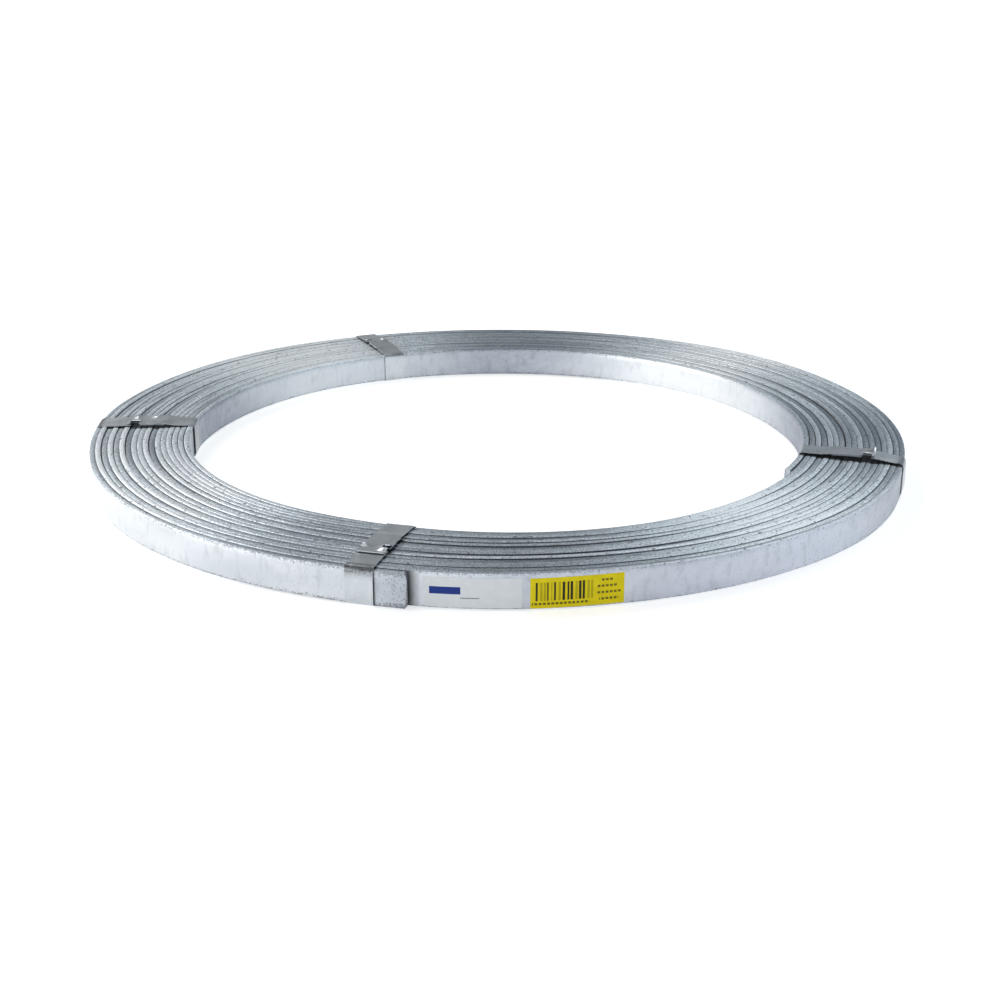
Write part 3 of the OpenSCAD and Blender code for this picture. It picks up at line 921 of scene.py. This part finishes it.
def make_sticker(name, node, az_from, az_to, z_from, z_to, finish):
    """A patch of the outer face between two azimuths, lifted off it. Its lower side runs from one height
    to another, and it is as tall everywhere as at its start, where its upper side is at z_to."""
    azimuth = np.linspace(az_from, az_to, STICKER_STEPS)
    out = np.interp(wound_at(azimuth, 1), wound, radius) + STRIP_T + STICKER_LIFT
    up = np.linspace(0, 1, STICKER_LEVELS) * (z_to - z_from[0])
    z = np.linspace(*z_from, STICKER_STEPS)[:, None] + up
    x = CENTRE[0] + out * np.cos(np.radians(azimuth))
    y = CENTRE[1] + out * np.sin(np.radians(azimuth))
    points = np.stack(np.broadcast_arrays(x[:, None], y[:, None], z), -1)
    faces, corner_row, corner_column = grid_faces(STICKER_STEPS, STICKER_LEVELS, False)
    length = np.radians(azimuth - az_from) * out.mean()
    corner_uv = np.stack([length[corner_row], up[corner_column]], -1).reshape(-1, 2)
    sticker = lay_mesh(name, points, faces.tolist(), corner_uv, finish)
    thicken(sticker, "paper", STICKER_T)
    stand_for(sticker, node)


make_sticker("sticker_white", "white_label", -98.0, -87.2, (2.0, 2.0), 22.3, white_paper)
make_sticker("sticker_yellow", "yellow_label", -86.3, -75.7, (1.3, 1.9), 22.0, yellow_paper)

# %% [markdown]
# ## Floor and light
# A metal surface looks like what it mirrors, so the light is part of the finish: a white floor, two soft
# boxes high at the back, one at either side, a long low one at the front and a dim room above. The floor is
# white to the camera and in reflections, and still takes the coil's shadow.

# %% Floor
FLOOR_R, FLOOR_CORNERS = 30.0, 96
ring = np.linspace(0, 2 * np.pi, FLOOR_CORNERS + 1)[:-1]
floor_points = np.stack([FLOOR_R * np.cos(ring), FLOOR_R * np.sin(ring), 0 * ring], -1)
floor_mesh = bpy.data.meshes.new("floor")
floor_mesh.from_pydata(floor_points.tolist(), [], [list(range(FLOOR_CORNERS))])
floor = bpy.data.objects.new("floor", floor_mesh)
bpy.context.scene.collection.objects.link(floor)
print("floor radius", FLOOR_R, "m")

# %% White paint that still takes a shadow
floor_paint, tree, shader = new_finish("floor_white")
shader.inputs["Base Color"].default_value = grey(0.85)
shader.inputs["Roughness"].default_value = 0.9
shader.inputs["Specular IOR Level"].default_value = 0.0
ray = tree.nodes.new("ShaderNodeLightPath").outputs
seen = calc(tree, "MAXIMUM", ray["Is Camera Ray"], ray["Is Glossy Ray"])
seen = calc(tree, "MAXIMUM", seen, ray["Is Transmission Ray"])
spot = add(tree, "ShaderNodeTexCoord", {}).outputs["Object"]
from_coil = add(tree, "ShaderNodeVectorMath", {0: spot}, operation="LENGTH").outputs[1]
white = soft_step(tree, from_coil, 0.8, 4.0, 0.56, 1.0)
glow = add(tree, "ShaderNodeEmission", {0: grey(1.0), 1: calc(tree, "MULTIPLY", seen, white)})
both = add(tree, "ShaderNodeAddShader", {0: shader.outputs[0], 1: glow.outputs[0]})
tree.links.new(both.outputs[0], tree.nodes["Material Output"].inputs[0])
floor_mesh.materials.append(floor_paint)
print("floor nodes", len(tree.nodes))

# %% Room
ROOM_LEFT, ROOM_RIGHT = grey(0.33), grey(0.37, (0.90, 1.0, 1.08))
ROOM_ABOVE, ROOM_BELOW = grey(0.22), grey(0.95)
world = bpy.data.worlds.new("room")
bpy.context.scene.world = world
world.use_nodes = True
tree = world.node_tree
direction = add(tree, "ShaderNodeTexCoord", {}).outputs["Generated"]
sides = add(tree, "ShaderNodeSeparateXYZ", {0: direction}).outputs
walls = blend(tree, soft_step(tree, sides[0], -0.6, 0.6), ROOM_LEFT, ROOM_RIGHT)
above = blend(tree, soft_step(tree, sides[2], 0.3, 0.8), walls, ROOM_ABOVE)
room = blend(tree, soft_step(tree, sides[2], 0.0, 0.1), ROOM_BELOW, above)
tree.links.new(room, tree.nodes["Background"].inputs[0])
print("room nodes", len(tree.nodes))

# %% Lamps
PLAIN_LIGHT = (1.0, 1.0, 1.0)
LAMPS = [
    ("box_left_high", (-1.3, 1.2, 1.9), 1.2, 1.2, 4.2, PLAIN_LIGHT),
    ("box_right_high", (1.3, 1.3, 1.9), 1.1, 1.1, 4.3, (0.90, 0.96, 1.0)),
    ("box_left", (-1.95, -0.5, 0.75), 2.4, 1.2, 3.0, PLAIN_LIGHT),
    ("box_right", (2.0, -0.3, 0.75), 2.0, 1.0, 1.0, (0.72, 0.89, 1.0)),
    ("box_front", (-0.2, -2.7, 0.55), 3.0, 0.8, 2.0, (0.95, 0.98, 1.0)),
]


def soft_box(name, place, width, depth, radiance, colour):
    """A rectangular lamp that faces the middle of the coil. Its power is radiance times area times pi."""
    lamp = bpy.data.lights.new(name, "AREA")
    lamp.shape = "RECTANGLE"
    lamp.size, lamp.size_y = width, depth
    lamp.energy = radiance * width * depth * math.pi
    lamp.color = colour
    box = bpy.data.objects.new(name, lamp)
    bpy.context.scene.collection.objects.link(box)
    box.location = place
    x, y, z = place
    box.rotation_euler = (math.atan2(math.hypot(x, y), z), 0, math.atan2(x, -y))
    box.visible_camera = False


for lamp in LAMPS:
    soft_box(*lamp)
print("lamps", len(LAMPS))

# %% [markdown]
# ## Camera
# The camera looks down at the coil by some twenty degrees. Its place, tilt and lens are fitted to the rims of
# the coil, so that the near and the far side of the ring have the right proportion.

# %% Camera
CAMERA_PLACE = (0.0, -1.2080, 0.3922)
CAMERA_TILT, CAMERA_TURN = 70.17, -0.14
camera_data = bpy.data.cameras.new("camera")
camera_data.lens = 54.57
camera_data.sensor_width = 36.0
camera_data.clip_end = 200.0
camera = bpy.data.objects.new("camera", camera_data)
bpy.context.scene.collection.objects.link(camera)
camera.location = CAMERA_PLACE
camera.rotation_euler = (math.radians(CAMERA_TILT), 0.0, math.radians(CAMERA_TURN))
bpy.context.scene.camera = camera
bpy.context.scene.view_settings.view_transform = "Standard"
print("camera", round(math.hypot(*CAMERA_PLACE), 3), "m from the middle of the coil")
